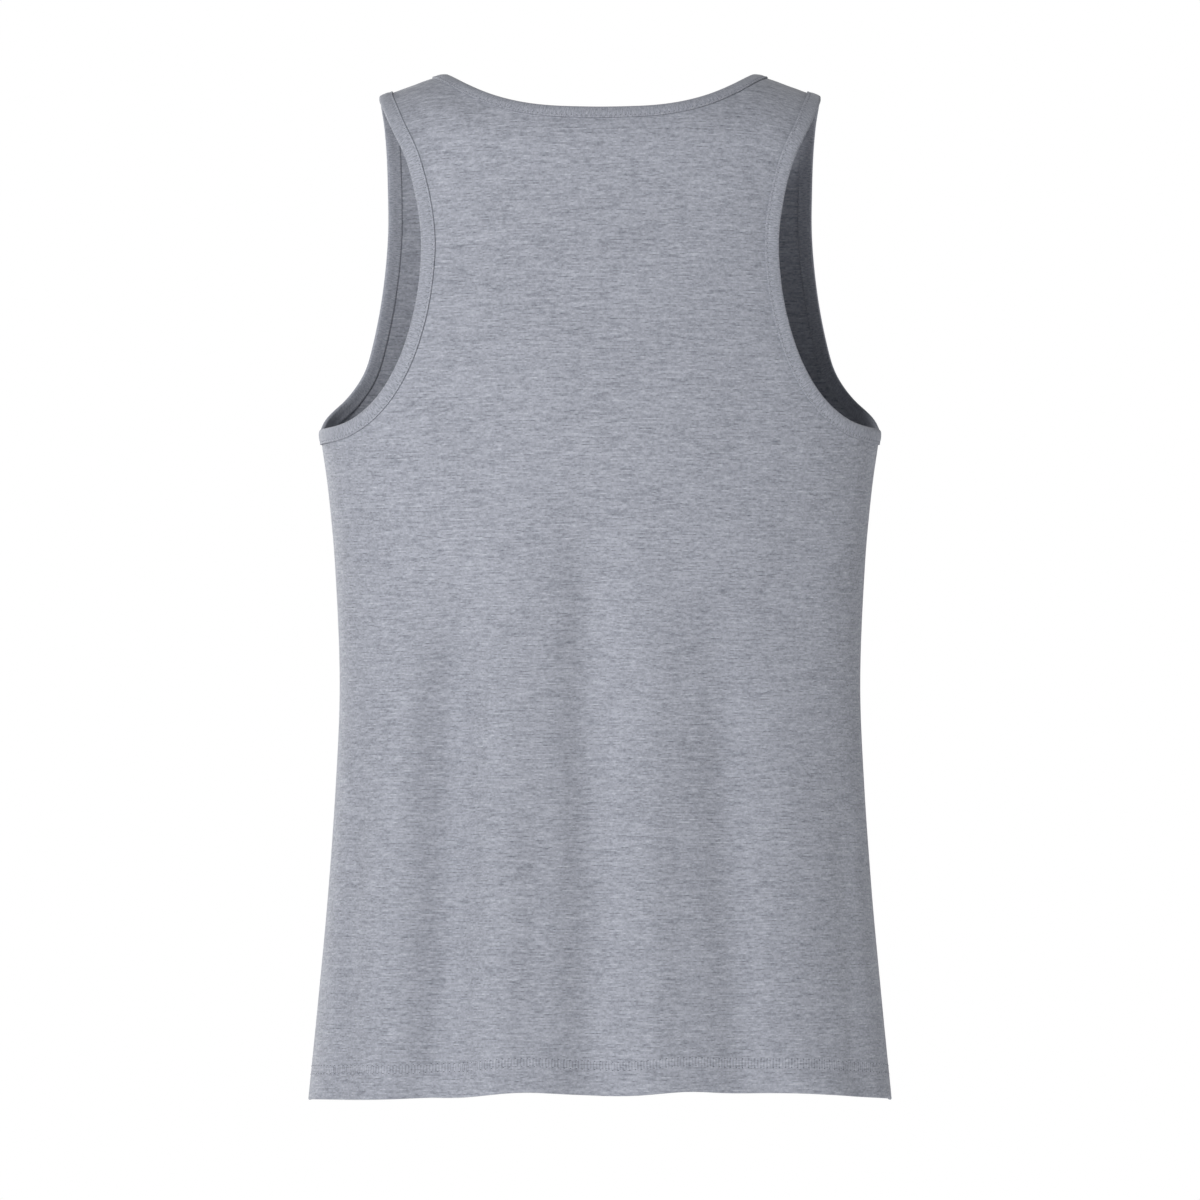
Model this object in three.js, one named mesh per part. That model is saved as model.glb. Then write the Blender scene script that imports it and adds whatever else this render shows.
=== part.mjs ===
// A scoop neck tank top in heather jersey, open and filled out as when it is worn.
//
// Millimetres, +Z up. -Y is the garment's front, +Y its back and +X the wearer's left. The origin
// is midway between the two points where the neck meets the shoulders, where the wearer holds it.
//
// The garment is cut from a front panel, a back panel and three strips of binding: one round the
// neck and one round each armhole. The side seams and shoulder seams join the panels, and the hem
// of each panel is turned up inside.
//
// Every panel is drawn on one smooth torso. A place on it is a pair: "around", which is 0 at the
// centre line and 1 or -1 at the side seams, and "down", the length of cloth below the shoulder.

import * as THREE from 'three';
import { mergeVertices } from 'three/addons/utils/BufferGeometryUtils.js';

// Driving sizes.
const PLY = 1.0; // thickness of the panels
const SEAM_GAP = 0.3; // between pieces that are sewn together
const BINDING_PLY = 1.0; // thickness of each side of a folded strip
const BINDING_WIDTH = 9.5;
const BINDING_ROUND = 0.45; // how much the fold of a strip is rounded
const HEM_TURN = 22; // height of the turned up hem
const HEM_STEP = 0.8; // length over which its raw edge steps in
const SHOULDER_TOP = -0.6; // the panels' height there, with the binding's top level with the origin
const SHOULDER_SLOPE = 0.37; // fall of the shoulder seam for each millimetre outwards
const SHOULDER_START = 103; // half the width at which it starts to fall
const SHOULDER_ROUND = 50; // radius of the cloth's turn over the shoulder, seen from the side
const SHOULDER_BLEND = 6; // softens the start of the slope
const SLOPE_FADE = 240; // the slope has no effect this far down
const ROUNDNESS = 2.3; // 2 is an ellipse, more is squarer
const NECK_HALF_WIDTH = 99;
const HEM_AT_SIDE = -663;
const HEM_RISE = 12.5; // how much higher the hem is at the centre front and back

// The torso: half its width, and its reach behind and in front, at each height.
const SECTIONS = [
  { z: 0, halfWidth: 172, back: 76, front: 70 },
  { z: -60, halfWidth: 174, back: 80, front: 75 },
  { z: -120, halfWidth: 178, back: 87, front: 84 },
  { z: -180, halfWidth: 181, back: 94, front: 94 },
  { z: -230, halfWidth: 181, back: 96, front: 100 },
  { z: -260, halfWidth: 177, back: 95, front: 102 },
  { z: -310, halfWidth: 172, back: 90, front: 99 },
  { z: -390, halfWidth: 168.5, back: 83, front: 90 },
  { z: -450, halfWidth: 170.5, back: 85, front: 89 },
  { z: -530, halfWidth: 176, back: 93, front: 93 },
  { z: -600, halfWidth: 182.5, back: 99, front: 97 },
  { z: -665, halfWidth: 189, back: 103, front: 101 },
];

// The finished edge of each armhole, from the shoulder to the side seam.
const ARMHOLES = {
  back: [
    { x: 143, z: -17.5 },
    { x: 133, z: -40 },
    { x: 123.5, z: -60 },
    { x: 116.5, z: -88 },
    { x: 113.5, z: -114 },
    { x: 115.5, z: -145 },
    { x: 121, z: -170 },
    { x: 127, z: -187 },
    { x: 136, z: -204 },
    { x: 149, z: -219 },
    { x: 162, z: -227 },
    { x: 175, z: -230 },
    { x: 181, z: -230.5 },
  ],
  front: [
    { x: 143, z: -17.5 },
    { x: 141.6, z: -28 },
    { x: 140.3, z: -46 },
    { x: 139.6, z: -71 },
    { x: 139.5, z: -97 },
    { x: 141.3, z: -122 },
    { x: 145, z: -149 },
    { x: 150.4, z: -175 },
    { x: 154.5, z: -189 },
    { x: 161, z: -201 },
    { x: 167, z: -209 },
    { x: 173.6, z: -216 },
    { x: 177.5, z: -220.8 },
    { x: 179.8, z: -225.2 },
    { x: 180.7, z: -228.8 },
    { x: 181, z: -230.5 },
  ],
};

// The finished neck edge falls by this much at the centre, on a curve of this power.
const NECKS = {
  back: { drop: 27, power: 3 },
  front: { drop: 168, power: 2.15 },
};

// Soft folds that run down to the hem. Each starts at height "from", is at full depth by "full",
// and lies at xTop and xHem there and at the hem. A negative depth is a trough.
const FOLDS = {
  back: [
    { xTop: 88, xHem: 101, from: -270, full: -470, spread: 17, depth: -4.2 },
    { xTop: 6, xHem: 7, from: -240, full: -380, spread: 15, depth: -3.2 },
    { xTop: -68, xHem: -80, from: -280, full: -560, spread: 16, depth: -2.2 },
    { xTop: -128, xHem: -142, from: -330, full: -600, spread: 14, depth: 1.6 },
  ],
  front: [
    { xTop: 70, xHem: 84, from: -290, full: -520, spread: 17, depth: -3.4 },
    { xTop: 12, xHem: -8, from: -300, full: -560, spread: 19, depth: -2.6 },
    { xTop: -84, xHem: -104, from: -270, full: -500, spread: 16, depth: -4.0 },
    { xTop: 122, xHem: 138, from: -340, full: -600, spread: 14, depth: 1.5 },
  ],
};

// The hem hangs a little unevenly: how much it is raised at each place across.
const HEM_WAVES = {
  back: [
    { x: 155, spread: 35, rise: -2.6 },
    { x: 88, spread: 20, rise: -1.0 },
    { x: 51, spread: 20, rise: 2.2 },
    { x: -9, spread: 16, rise: -0.6 },
    { x: -56, spread: 17, rise: 2.4 },
    { x: -124, spread: 30, rise: 2.4 },
  ],
  front: [
    { x: 62, spread: 22, rise: -1.8 },
    { x: 20, spread: 20, rise: 2.2 },
    { x: -70, spread: 24, rise: 1.6 },
  ],
};

// How each half panel is divided: columns out to the strap, across the strap and under the arm,
// then rows up to the arm, from there to the neck and up the strap.
const GRIDS = {
  back: { neckColumns: 6, strapColumns: 5, armColumns: 5, bodyRows: 23, chestRows: 12, strapRows: 8 },
  front: { neckColumns: 5, strapColumns: 6, armColumns: 5, bodyRows: 23, chestRows: 5, strapRows: 15 },
};
// The share of an edge's length at which the strap begins, and at which the underarm ends.
const CORNERS = {
  back: { neckStrap: 0.68, underArm: 0.245, armStrap: 0.74 },
  front: { neckStrap: 0.3, underArm: 0.19, armStrap: 0.43 },
};
const CHEST_LINE = -214; // height of the grid's line across the chest, at the centre
const CHEST_BEND = 2; // it rises towards the arms on a curve of this power

const CLOTH = new THREE.Color().setRGB(0.37, 0.385, 0.43);
const BINDING_CLOTH = new THREE.Color().setRGB(0.36, 0.375, 0.42);
const CLOTH_ROUGHNESS = 0.92;

const BACK = 'back';
const FRONT = 'front';
const OTHER = { back: FRONT, front: BACK };
const DIRECTION = { back: 1, front: -1 };

const clamp = (value, low, high) => Math.min(high, Math.max(low, value));
const mix = (a, b, share) => a + (b - a) * share;
const evenly = (count) => Array.from({ length: count + 1 }, (_, k) => k / count);
const smooth = (share) => {
  const t = clamp(share, 0, 1);
  return t * t * (3 - 2 * t);
};
const bell = (distance, spread) => Math.exp(-0.5 * (distance / spread) ** 2);
const mixPlaces = (a, b, share) => ({
  around: mix(a.around, b.around, share),
  down: mix(a.down, b.down, share),
});

// A smooth curve through the rows of a table: the value of one column at a height.
function atHeight(rows, column, z) {
  const last = rows.length - 2;
  const below = rows.findIndex((row) => row.z < z);
  const i = below < 0 ? last : clamp(below - 1, 0, last);
  const slope = (k) => {
    const low = rows[Math.max(0, k - 1)];
    const high = rows[Math.min(rows.length - 1, k + 1)];
    return (high[column] - low[column]) / (high.z - low.z);
  };
  const height = rows[i + 1].z - rows[i].z;
  const t = clamp((z - rows[i].z) / height, 0, 1);
  return (
    rows[i][column] * (1 + 2 * t) * (1 - t) ** 2 +
    slope(i) * height * t * (1 - t) ** 2 +
    rows[i + 1][column] * t * t * (3 - 2 * t) +
    slope(i + 1) * height * t * t * (t - 1)
  );
}

// Seen from above, the torso is a rounded ellipse. Its angles are found by length along it.
const SIDEWAYS = Math.PI * 0.5;
const sineOf = (angle) => Math.sin(angle) ** (2 / ROUNDNESS);
const cosineOf = (angle) => Math.max(0, Math.cos(angle)) ** (2 / ROUNDNESS);
const ARC_STEPS = 400;
const ARC_SHAPE = { halfWidth: 176, reach: 96 };
const ARC = evenly(ARC_STEPS).map(() => 0);
for (let k = 1; k <= ARC_STEPS; k++) {
  const before = ((k - 1) / ARC_STEPS) * SIDEWAYS;
  const after = (k / ARC_STEPS) * SIDEWAYS;
  const across = ARC_SHAPE.halfWidth * (sineOf(after) - sineOf(before));
  const along = ARC_SHAPE.reach * (cosineOf(after) - cosineOf(before));
  ARC[k] = ARC[k - 1] + Math.hypot(across, along);
}
const ARC_LENGTH = ARC[ARC_STEPS];

function angleAt(around) {
  const wanted = clamp(around, 0, 1) * ARC_LENGTH;
  const k = clamp(ARC.findIndex((length) => length >= wanted), 1, ARC_STEPS);
  const share = (wanted - ARC[k - 1]) / (ARC[k] - ARC[k - 1]);
  return ((k - 1 + share) / ARC_STEPS) * SIDEWAYS;
}

function aroundAt(angle) {
  const place = (angle / SIDEWAYS) * ARC_STEPS;
  const k = clamp(Math.floor(place), 0, ARC_STEPS - 1);
  return mix(ARC[k], ARC[k + 1], place - k) / ARC_LENGTH;
}

// The cloth turns over the shoulder on an arc and then falls straight.
const TURN_LENGTH = SHOULDER_ROUND * SIDEWAYS;
const TURN_SAVING = TURN_LENGTH - SHOULDER_ROUND;
const fallAt = (down) =>
  down < TURN_LENGTH ? SHOULDER_ROUND * (1 - Math.cos(down / SHOULDER_ROUND)) : down - TURN_SAVING;
const turnAt = (down) => (down < TURN_LENGTH ? Math.sin(down / SHOULDER_ROUND) : 1);

function shoulderFall(x) {
  const beyond = Math.abs(x) - SHOULDER_START;
  return SHOULDER_SLOPE * 0.5 * (beyond + Math.hypot(beyond, SHOULDER_BLEND));
}

// The same place on the panel it lies on, where it has passed a side seam or the shoulder.
function settled(side, around, down) {
  if (Math.abs(around) > 1) return settled(OTHER[side], Math.sign(around) * 2 - around, down);
  if (down < 0) return settled(OTHER[side], around, -down);
  return { side, around, down };
}

// A point of the smooth torso.
function torsoPoint(anySide, anyAround, anyDown) {
  const { side, around, down } = settled(anySide, anyAround, anyDown);
  const angle = angleAt(Math.abs(around));
  const fall = fallAt(down);
  const x = Math.sign(around) * atHeight(SECTIONS, 'halfWidth', -fall) * sineOf(angle);
  const y = DIRECTION[side] * atHeight(SECTIONS, side, -fall) * cosineOf(angle) * turnAt(down);
  const z = SHOULDER_TOP - fall - shoulderFall(x) * (1 - smooth(fall / SLOPE_FADE));
  return new THREE.Vector3(x, y, z);
}

const STEP_AROUND = 0.004;
const STEP_DOWN = 0.8;

function slopesOf(pointAt, { side, around, down }) {
  return {
    across: pointAt(side, around + STEP_AROUND, down)
      .sub(pointAt(side, around - STEP_AROUND, down))
      .divideScalar(2 * STEP_AROUND),
    along: pointAt(side, around, down + STEP_DOWN)
      .sub(pointAt(side, around, down - STEP_DOWN))
      .divideScalar(2 * STEP_DOWN),
  };
}

function normalOf(pointAt, place) {
  const { across, along } = slopesOf(pointAt, place);
  return across.cross(along).normalize().multiplyScalar(DIRECTION[place.side]);
}

// A point of the cloth's outer face: the torso with its folds.
function clothPoint(anySide, anyAround, anyDown) {
  const place = settled(anySide, anyAround, anyDown);
  const point = torsoPoint(place.side, place.around, place.down);
  let depth = 0;
  for (const fold of FOLDS[place.side]) {
    const growth = smooth((point.z - fold.from) / (fold.full - fold.from));
    const centre = mix(fold.xTop, fold.xHem, (point.z - fold.from) / (HEM_AT_SIDE - fold.from));
    depth += fold.depth * growth * bell(point.x - centre, fold.spread);
  }
  return depth === 0 ? point : point.addScaledVector(normalOf(torsoPoint, place), depth);
}

// The place on a panel that is seen at x and z from straight behind or in front.
function placeAt(side, x, z) {
  let low = 0;
  let high = -2 * HEM_AT_SIDE;
  let place = { around: 0, down: 0 };
  while (high - low > 1e-6) {
    const down = 0.5 * (low + high);
    const share = clamp(Math.abs(x) / atHeight(SECTIONS, 'halfWidth', -fallAt(down)), 0, 1);
    place = { around: aroundAt(Math.asin(share ** (ROUNDNESS / 2))), down };
    if (torsoPoint(side, place.around, down).z > z) low = down;
    else high = down;
  }
  return place;
}

// The place on the shoulder seam at x.
function ridgePlace(x) {
  return { around: aroundAt(Math.asin((x / SECTIONS[0].halfWidth) ** (ROUNDNESS / 2))), down: 0 };
}

// Finished edges as close places: an armhole's from the side seam, the neck's from the centre.
const EDGE_STEPS = 120;

function armholeEdge(side) {
  const rows = ARMHOLES[side].map((row) => new THREE.Vector3(row.x, row.z, 0)).reverse();
  const curve = new THREE.CatmullRomCurve3(rows, false, 'centripetal');
  const edge = curve.getSpacedPoints(EDGE_STEPS).map((p) => placeAt(side, p.x, p.y));
  edge[0].around = 1;
  edge[EDGE_STEPS] = ridgePlace(ARMHOLES[side][0].x);
  return edge;
}

function neckEdge(side) {
  const { drop, power } = NECKS[side];
  const edge = evenly(EDGE_STEPS).map((share) => {
    const turn = share * SIDEWAYS;
    const x = NECK_HALF_WIDTH * Math.sin(turn);
    const fall = side === FRONT ? Math.cos(turn) ** (2 / power) : 1 - Math.sin(turn) ** power;
    return placeAt(side, x, SHOULDER_TOP - shoulderFall(x) - drop * fall);
  });
  edge[EDGE_STEPS] = ridgePlace(NECK_HALF_WIDTH);
  return edge;
}

// Places spaced evenly along an edge, between two shares of its length.
function spaced(side, edge, from, to, count) {
  const points = edge.map((place) => torsoPoint(side, place.around, place.down));
  const lengths = [0];
  for (let k = 1; k < points.length; k++) lengths.push(lengths[k - 1] + points[k].distanceTo(points[k - 1]));
  const last = lengths.length - 1;
  return evenly(count).map((step) => {
    const wanted = mix(from, to, step) * lengths[last];
    const k = clamp(lengths.findIndex((length) => length >= wanted), 1, last);
    return mixPlaces(edge[k - 1], edge[k], (wanted - lengths[k - 1]) / (lengths[k] - lengths[k - 1]));
  });
}

// The place a binding's width into the cloth from each place along an edge. The turn is 1 on the
// neck and -1 on an armhole, because the cloth lies on opposite sides of them.
function insetPlaces(side, edge, turn) {
  const last = edge.length - 1;
  return edge.map((place, k) => {
    if (k === 0) return { around: place.around, down: place.down + BINDING_WIDTH };
    const before = torsoPoint(side, edge[k - 1].around, edge[k - 1].down);
    const next = edge[Math.min(last, k + 1)];
    const after = torsoPoint(side, next.around, next.down);
    const { across, along } = slopesOf(torsoPoint, { side, ...place });
    const normal = normalOf(torsoPoint, { side, ...place });
    const inward = normal.cross(after.sub(before)).setLength(turn * DIRECTION[side] * BINDING_WIDTH);
    if (k === last) return { around: place.around + (turn * BINDING_WIDTH) / across.length(), down: 0 };
    const [aa, dd, ad] = [across.dot(across), along.dot(along), across.dot(along)];
    const [wa, wd] = [inward.dot(across), inward.dot(along)];
    const area = aa * dd - ad * ad;
    return {
      around: place.around + (wa * dd - wd * ad) / area,
      down: place.down + (wd * aa - wa * ad) / area,
    };
  });
}

// A grid of places between four edges, by blending opposite edges.
function blendGrid(bottom, top, left, right) {
  const rows = left.length - 1;
  const columns = bottom.length - 1;
  const distance = (a, b) => Math.hypot((b.around - a.around) * ARC_LENGTH, b.down - a.down);
  const shareOf = (edge, k) => distance(edge[0], edge[k]) / distance(edge[0], edge[edge.length - 1]);
  return left.map((_, i) =>
    bottom.map((__, j) => {
      const u = mix(shareOf(bottom, j), shareOf(top, j), i / rows);
      const v = mix(shareOf(left, i), shareOf(right, i), j / columns);
      const between = mixPlaces(left[i], right[i], u);
      const upright = mixPlaces(bottom[j], top[j], v);
      const low = mixPlaces(bottom[0], bottom[columns], u);
      const high = mixPlaces(top[0], top[columns], u);
      const corners = mixPlaces(low, high, v);
      return {
        around: between.around + upright.around - corners.around,
        down: between.down + upright.down - corners.down,
      };
    }),
  );
}

const straight = (from, to, shares, bend = 1) =>
  shares.map((share) => ({
    around: mix(from.around, to.around, share),
    down: mix(from.down, to.down, share ** bend),
  }));

function hemPlace(side, around, hand) {
  const angle = angleAt(around);
  const level = cosineOf(angle);
  const x = hand * SECTIONS[SECTIONS.length - 1].halfWidth * sineOf(angle);
  const waves = HEM_WAVES[side].reduce((sum, wave) => sum + wave.rise * bell(x - wave.x, wave.spread), 0);
  return { around, down: TURN_SAVING + SHOULDER_TOP - HEM_AT_SIDE - (HEM_RISE + waves) * level };
}

// The rows and columns at which a panel's grid turns.
function gridOf(side) {
  const { neckColumns, strapColumns, armColumns, bodyRows, chestRows, strapRows } = GRIDS[side];
  const armColumn = neckColumns + strapColumns;
  const neckRow = bodyRows + chestRows;
  return {
    ...GRIDS[side],
    armColumn,
    sideColumn: armColumn + armColumns,
    neckRow,
    topRow: neckRow + strapRows,
  };
}

const keyOf = (row, column) => `${row},${column}`;

// The nodes along half of each bound edge, each with the node a binding's width inside it.
function armholeKeys(side, hand) {
  const { bodyRows, armColumn, sideColumn, topRow } = gridOf(side);
  const keys = [];
  for (let j = sideColumn; j > armColumn; j--) {
    keys.push({ edge: keyOf(bodyRows, hand * j), ring: keyOf(bodyRows - 1, hand * j) });
  }
  keys.push({ edge: keyOf(bodyRows, hand * armColumn), ring: keyOf(bodyRows - 1, hand * (armColumn - 1)) });
  for (let i = bodyRows + 1; i <= topRow; i++) {
    keys.push({ edge: keyOf(i, hand * armColumn), ring: keyOf(i, hand * (armColumn - 1)) });
  }
  return keys;
}

function neckKeys(side, hand) {
  const { neckColumns, neckRow, topRow } = gridOf(side);
  const keys = [];
  for (let j = 0; j < neckColumns; j++) {
    keys.push({ edge: keyOf(neckRow, hand * j), ring: keyOf(neckRow - 1, hand * j) });
  }
  keys.push({ edge: keyOf(neckRow, hand * neckColumns), ring: keyOf(neckRow - 1, hand * (neckColumns + 1)) });
  for (let i = neckRow + 1; i <= topRow; i++) {
    keys.push({ edge: keyOf(i, hand * neckColumns), ring: keyOf(i, hand * (neckColumns + 1)) });
  }
  return keys;
}

// Beside each turn of an edge, two nodes lie half way between their neighbours.
function halfwayKeys(side, hand) {
  const { bodyRows, armColumn, neckColumns, neckRow } = gridOf(side);
  const key = (row, column) => keyOf(row, hand * column);
  const armTurn = key(bodyRows - 1, armColumn - 1);
  const neckTurn = key(neckRow - 1, neckColumns + 1);
  return [
    { node: key(bodyRows - 1, armColumn), ends: [armTurn, key(bodyRows - 1, armColumn + 1)] },
    { node: key(bodyRows, armColumn - 1), ends: [armTurn, key(bodyRows + 1, armColumn - 1)] },
    { node: key(neckRow - 1, neckColumns), ends: [neckTurn, key(neckRow - 1, neckColumns - 1)] },
    { node: key(neckRow, neckColumns + 1), ends: [neckTurn, key(neckRow + 1, neckColumns + 1)] },
  ];
}

// The place of every node of half a panel.
function halfPanel(side, hand) {
  const { neckColumns, strapColumns, armColumns, bodyRows, chestRows, strapRows } = GRIDS[side];
  const { armColumn, sideColumn, neckRow, topRow } = gridOf(side);
  const { neckStrap, underArm, armStrap } = CORNERS[side];
  const places = new Map();
  const at = (row, column) => places.get(keyOf(row, hand * column));
  const put = (row, column, place) => places.set(keyOf(row, hand * column), place);

  const armLine = armholeEdge(side);
  const arm = [
    ...spaced(side, armLine, 0, underArm, armColumns),
    ...spaced(side, armLine, underArm, armStrap, chestRows).slice(1),
    ...spaced(side, armLine, armStrap, 1, strapRows).slice(1),
  ];
  const neckLine = neckEdge(side);
  const neck = [
    ...spaced(side, neckLine, 0, neckStrap, neckColumns),
    ...spaced(side, neckLine, neckStrap, 1, strapRows).slice(1),
  ];
  for (const [edge, keys, turn] of [
    [arm, armholeKeys(side, hand), -1],
    [neck, neckKeys(side, hand), 1],
  ]) {
    const ring = insetPlaces(side, edge, turn);
    keys.forEach((key, k) => {
      places.set(key.edge, edge[k]);
      places.set(key.ring, ring[k]);
    });
  }
  for (const { node, ends } of halfwayKeys(side, hand)) {
    places.set(node, mixPlaces(places.get(ends[0]), places.get(ends[1]), 0.5));
  }

  const row = (i, from, to) => evenly(to - from).map((_, k) => at(i, from + k));
  const column = (j, from, to) => evenly(to - from).map((_, k) => at(from + k, j));
  const fill = (grid, firstRow, firstColumn) =>
    grid.forEach((line, i) => line.forEach((place, j) => put(firstRow + i, firstColumn + j, place)));

  const armRow = bodyRows - 1;
  const chestCentre = { around: 0, down: placeAt(side, 0, CHEST_LINE).down };
  const chestLine = straight(chestCentre, at(armRow, armColumn - 1), evenly(armColumn - 1), CHEST_BEND);
  chestLine.forEach((place, j) => put(armRow, j, place));
  const hem = evenly(sideColumn).map((share) => hemPlace(side, share, hand));
  const turned = [0, 0.5 * HEM_TURN, HEM_TURN, HEM_TURN + HEM_STEP];
  const rise = hem[0].down - chestCentre.down;
  const shares = turned.map((height) => height / rise);
  const above = armRow - turned.length + 1;
  const rowShares = [...shares.slice(0, -1), ...evenly(above).map((share) => mix(shares.at(-1), 1, share))];
  const chestRow = row(armRow, 0, sideColumn);
  fill(
    blendGrid(
      hem,
      chestRow,
      straight(hem[0], chestRow[0], rowShares),
      straight(hem[sideColumn], chestRow[sideColumn], rowShares),
    ),
    0,
    0,
  );

  const strapRow = neckRow - 1;
  const strapColumn = neckColumns + 1;
  for (const i of [strapRow, topRow]) {
    const across = straight(at(i, strapColumn), at(i, armColumn - 1), evenly(strapColumns - 2));
    across.forEach((place, j) => put(i, strapColumn + j, place));
  }
  fill(
    blendGrid(
      row(armRow, 0, armColumn - 1),
      row(strapRow, 0, armColumn - 1),
      straight(at(armRow, 0), at(strapRow, 0), evenly(chestRows)),
      column(armColumn - 1, armRow, strapRow),
    ),
    armRow,
    0,
  );
  fill(
    blendGrid(
      row(strapRow, strapColumn, armColumn - 1),
      row(topRow, strapColumn, armColumn - 1),
      column(strapColumn, strapRow, topRow),
      column(armColumn - 1, strapRow, topRow),
    ),
    strapRow,
    strapColumn,
  );
  return places;
}

// A panel: its nodes, each with its point, its normal and its place, and the cells between them.
function makePanel(side) {
  const { bodyRows, neckColumns, armColumn, sideColumn, neckRow, topRow } = gridOf(side);
  const nodes = new Map();
  for (const hand of [1, -1]) {
    for (const [key, { around, down }] of halfPanel(side, hand)) {
      const place = { side, around: hand * around, down };
      const point = clothPoint(side, place.around, down);
      nodes.set(key, { ...place, point, normal: normalOf(clothPoint, place) });
    }
    for (const { node, ends } of halfwayKeys(side, hand)) {
      const [a, b] = ends.map((key) => nodes.get(key));
      nodes.get(node).point = a.point.clone().lerp(b.point, 0.5);
      nodes.get(node).normal = a.normal.clone().add(b.normal).normalize();
    }
  }
  const cells = [];
  const addCells = (firstRow, lastRow, firstColumn, lastColumn) => {
    for (let i = firstRow; i < lastRow; i++) {
      for (let j = firstColumn; j < lastColumn; j++) {
        cells.push([keyOf(i, j), keyOf(i, j + 1), keyOf(i + 1, j + 1), keyOf(i + 1, j)]);
      }
    }
  };
  addCells(0, bodyRows, -sideColumn, sideColumn);
  addCells(bodyRows, neckRow, -armColumn, armColumn);
  addCells(neckRow, topRow, neckColumns, armColumn);
  addCells(neckRow, topRow, -armColumn, -neckColumns);
  return { side, nodes, cells };
}

// How far each edge node is moved in: a raw edge stops inside its binding, and at a seam each
// panel stops half a gap short of it.
function edgeShifts(panel) {
  const { sideColumn, topRow } = gridOf(panel.side);
  const shifts = new Map();
  const shift = (key, vector) => shifts.set(key, vector.add(shifts.get(key) ?? new THREE.Vector3()));
  const rawEdge = BINDING_PLY + SEAM_GAP;
  for (const hand of [1, -1]) {
    for (const { edge, ring } of [...armholeKeys(panel.side, hand), ...neckKeys(panel.side, hand)]) {
      if (hand < 0 && edge.endsWith(',0')) continue;
      const inward = panel.nodes.get(ring).point.clone().sub(panel.nodes.get(edge).point);
      shift(edge, inward.multiplyScalar(rawEdge / BINDING_WIDTH));
    }
  }
  for (const [key, node] of panel.nodes) {
    const [row, column] = key.split(',').map(Number);
    const { across, along } = slopesOf(clothPoint, node);
    if (Math.abs(column) === sideColumn) shift(key, across.setLength(-0.5 * SEAM_GAP * Math.sign(column)));
    if (row === topRow) shift(key, along.setLength(0.5 * SEAM_GAP));
  }
  return shifts;
}

// A closed mesh from points and faces, each face given by the numbers of its corners.
function solidMesh(name, points, faces, color) {
  const positions = faces.flat().flatMap((corner) => points[corner].toArray());
  const geometry = new THREE.BufferGeometry();
  geometry.setAttribute('position', new THREE.Float32BufferAttribute(positions, 3));
  const merged = mergeVertices(geometry, 1e-4);
  merged.computeVertexNormals();
  const material = new THREE.MeshStandardMaterial({ color, roughness: CLOTH_ROUGHNESS, metalness: 0 });
  const mesh = new THREE.Mesh(merged, material);
  mesh.name = name;
  return mesh;
}

function panelMesh(name, panel) {
  const shifts = edgeShifts(panel);
  const keys = [...panel.nodes.keys()];
  const number = new Map(keys.map((key, k) => [key, k]));
  const still = new THREE.Vector3();
  const outer = keys.map((key) => panel.nodes.get(key).point.clone().add(shifts.get(key) ?? still));
  const inner = keys.map((key, k) => {
    const plies = Number(key.split(',')[0]) <= 2 ? 2 : 1;
    return outer[k].clone().addScaledVector(panel.nodes.get(key).normal, -PLY * plies);
  });
  const points = [...outer, ...inner];
  const faces = [];
  const openEdges = new Map();
  for (const cell of panel.cells) {
    const ring = cell.map((key) => number.get(key));
    const [a, b, c, d] = panel.side === FRONT ? ring : ring.reverse();
    const acrossIsShort = points[a].distanceTo(points[c]) <= points[b].distanceTo(points[d]);
    for (const [p, q, r] of acrossIsShort ? [[a, b, c], [a, c, d]] : [[a, b, d], [b, c, d]]) {
      faces.push([p, q, r], [r + keys.length, q + keys.length, p + keys.length]);
    }
    for (const [from, to] of [[a, b], [b, c], [c, d], [d, a]]) {
      if (!openEdges.delete(keyOf(to, from))) openEdges.set(keyOf(from, to), [from, to]);
    }
  }
  for (const [from, to] of openEdges.values()) {
    faces.push([to, from, from + keys.length], [to, from + keys.length, to + keys.length]);
  }
  return solidMesh(name, points, faces, CLOTH);
}

// The section of a folded strip, round from its outer edge to its inner edge and back: how far in
// from the finished edge each corner lies, and how far out from the cloth's outer face.
const STRIP_TOP = SEAM_GAP + BINDING_PLY;
const STRIP_BOTTOM = -PLY - STRIP_TOP;
const STRIP_SECTION = [
  { into: BINDING_WIDTH, out: STRIP_TOP },
  { into: BINDING_ROUND, out: STRIP_TOP },
  { into: 0, out: STRIP_TOP - BINDING_ROUND },
  { into: 0, out: STRIP_BOTTOM + BINDING_ROUND },
  { into: BINDING_ROUND, out: STRIP_BOTTOM },
  { into: BINDING_WIDTH, out: STRIP_BOTTOM },
  { into: BINDING_WIDTH, out: -PLY - SEAM_GAP },
  { into: BINDING_PLY, out: -PLY - SEAM_GAP },
  { into: BINDING_PLY, out: SEAM_GAP },
  { into: BINDING_WIDTH, out: SEAM_GAP },
];

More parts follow.
